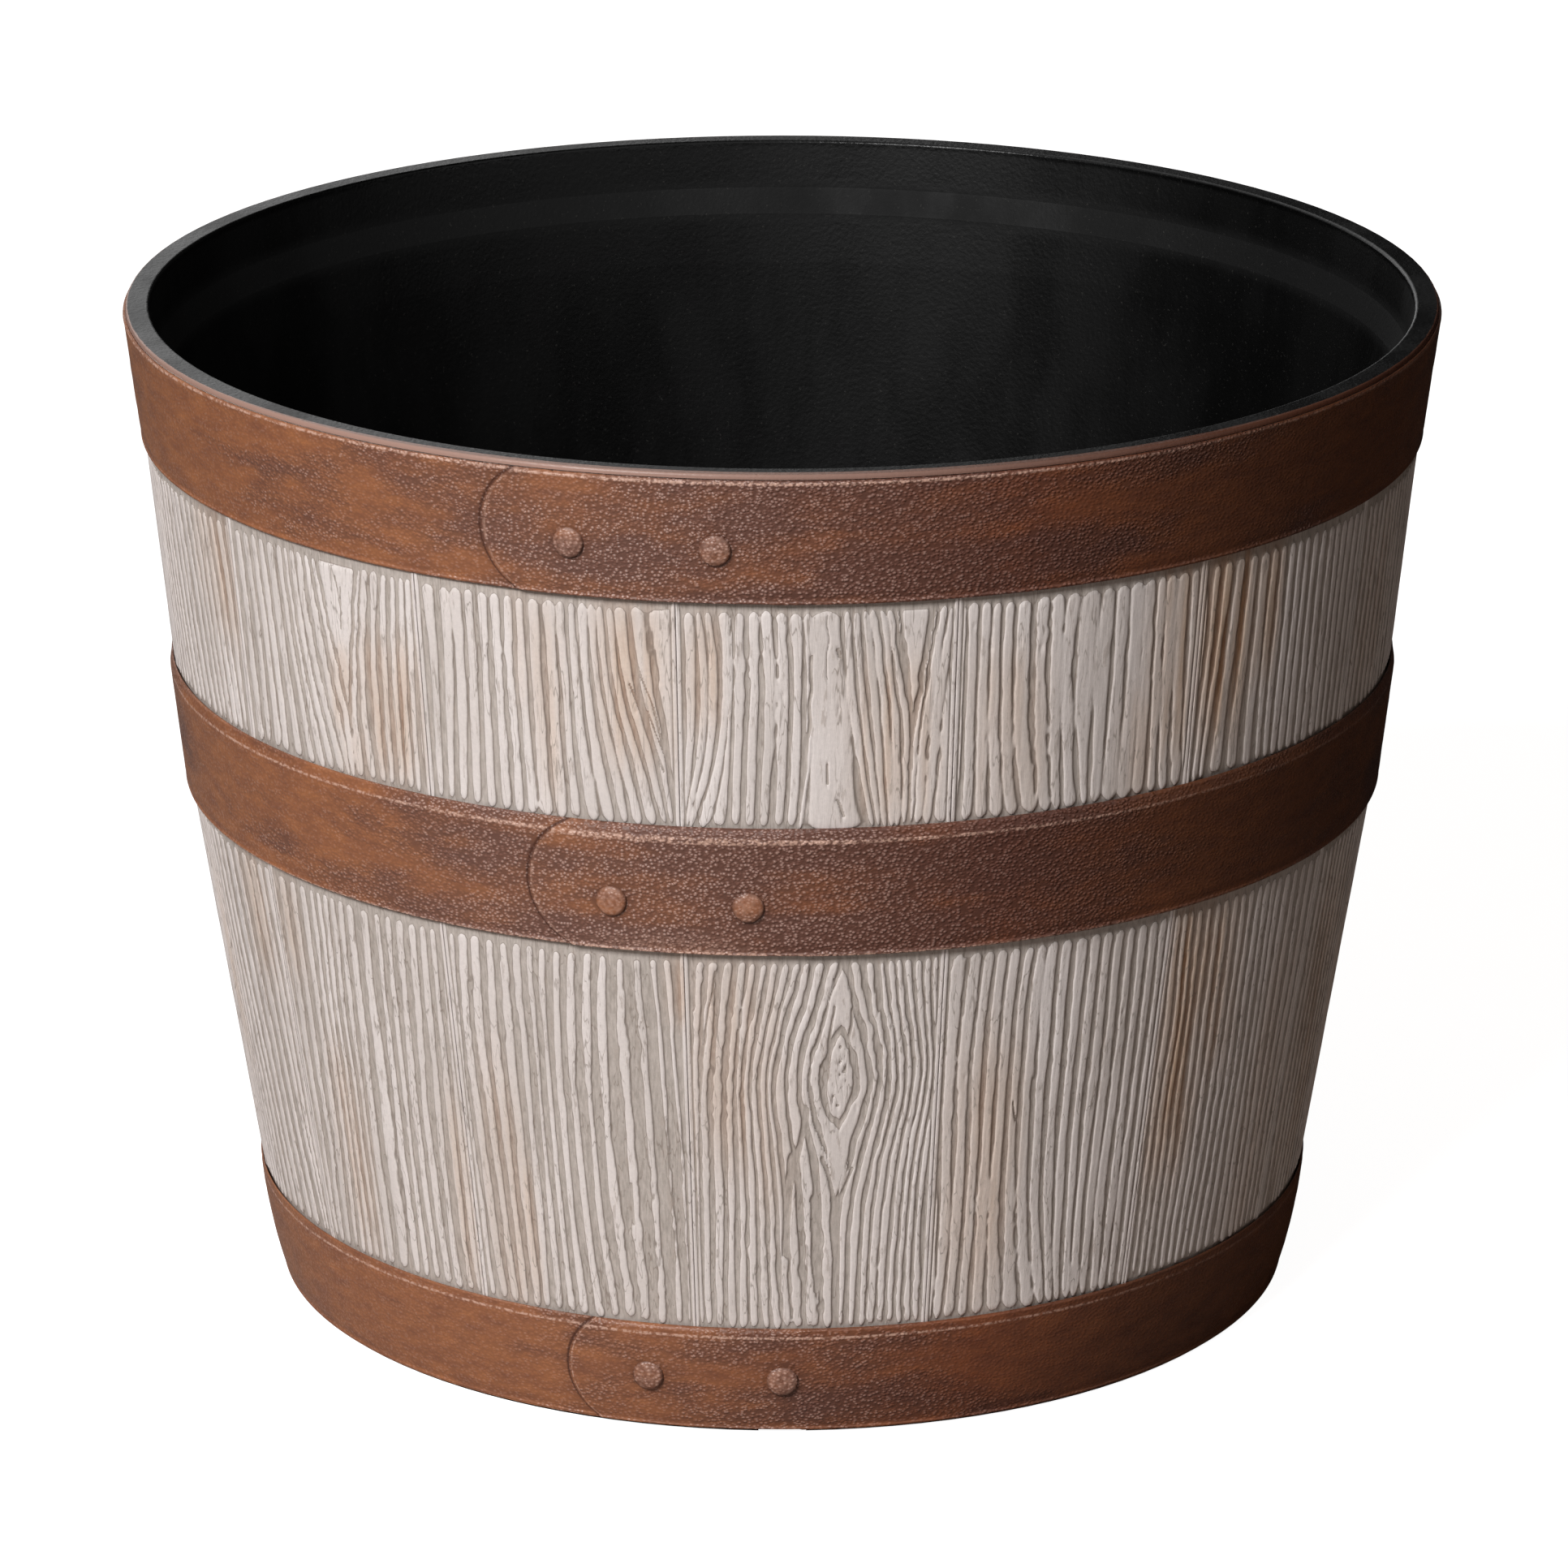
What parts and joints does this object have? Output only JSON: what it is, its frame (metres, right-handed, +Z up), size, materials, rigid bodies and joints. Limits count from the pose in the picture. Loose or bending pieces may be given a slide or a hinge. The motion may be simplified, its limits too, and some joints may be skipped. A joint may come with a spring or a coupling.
{
  "type": "barrel planter",
  "caption": "Round resin half-barrel planter with whitewashed wood-look staves, rust-brown lapped hoops with rivets, an open black interior and a pull-out drain plug.",
  "frame": {"origin": "centre of the footprint, on the ground", "axes": "+Z up along the barrel's axis; -Y is the front, where the hoops' laps and rivets are; +X is to the right seen from the front"},
  "size_m": [0.3952, 0.396, 0.305],
  "materials": {
    "black_resin": "matt black moulded structural-foam resin, faintly speckled",
    "stave_finish": "whitewashed wood-grain relief in resin, warm white ridges over grey valleys with tan stains",
    "hoop_finish": "rust-brown mottled satin coat over a fine leathery grain",
    "rivet_finish": "rust-brown mottled satin coat",
    "black_rubber": "matt black soft rubber"
  },
  "bodies": {
    "planter_body": {"tub": "black_resin", "stave_01": "stave_finish", "stave_02": "stave_finish", "stave_03": "stave_finish", "stave_04": "stave_finish", "stave_05": "stave_finish", "stave_06": "stave_finish", "stave_07": "stave_finish", "stave_08": "stave_finish", "stave_09": "stave_finish", "stave_10": "stave_finish", "stave_11": "stave_finish", "stave_12": "stave_finish", "stave_13": "stave_finish", "stave_14": "stave_finish", "stave_15": "stave_finish", "top_hoop": "hoop_finish", "middle_hoop": "hoop_finish", "bottom_hoop": "hoop_finish", "top_rivets": "rivet_finish", "middle_rivets": "rivet_finish", "bottom_rivets": "rivet_finish"},
    "plug_body": {"drain_plug": "black_rubber"}
  },
  "joints": [
    {"name": "drain_plug_pull", "type": "slide", "parent": "planter_body", "child": "plug_body", "axis": [0, 0, 1], "range_m": [0, 0.03]}
  ]
}
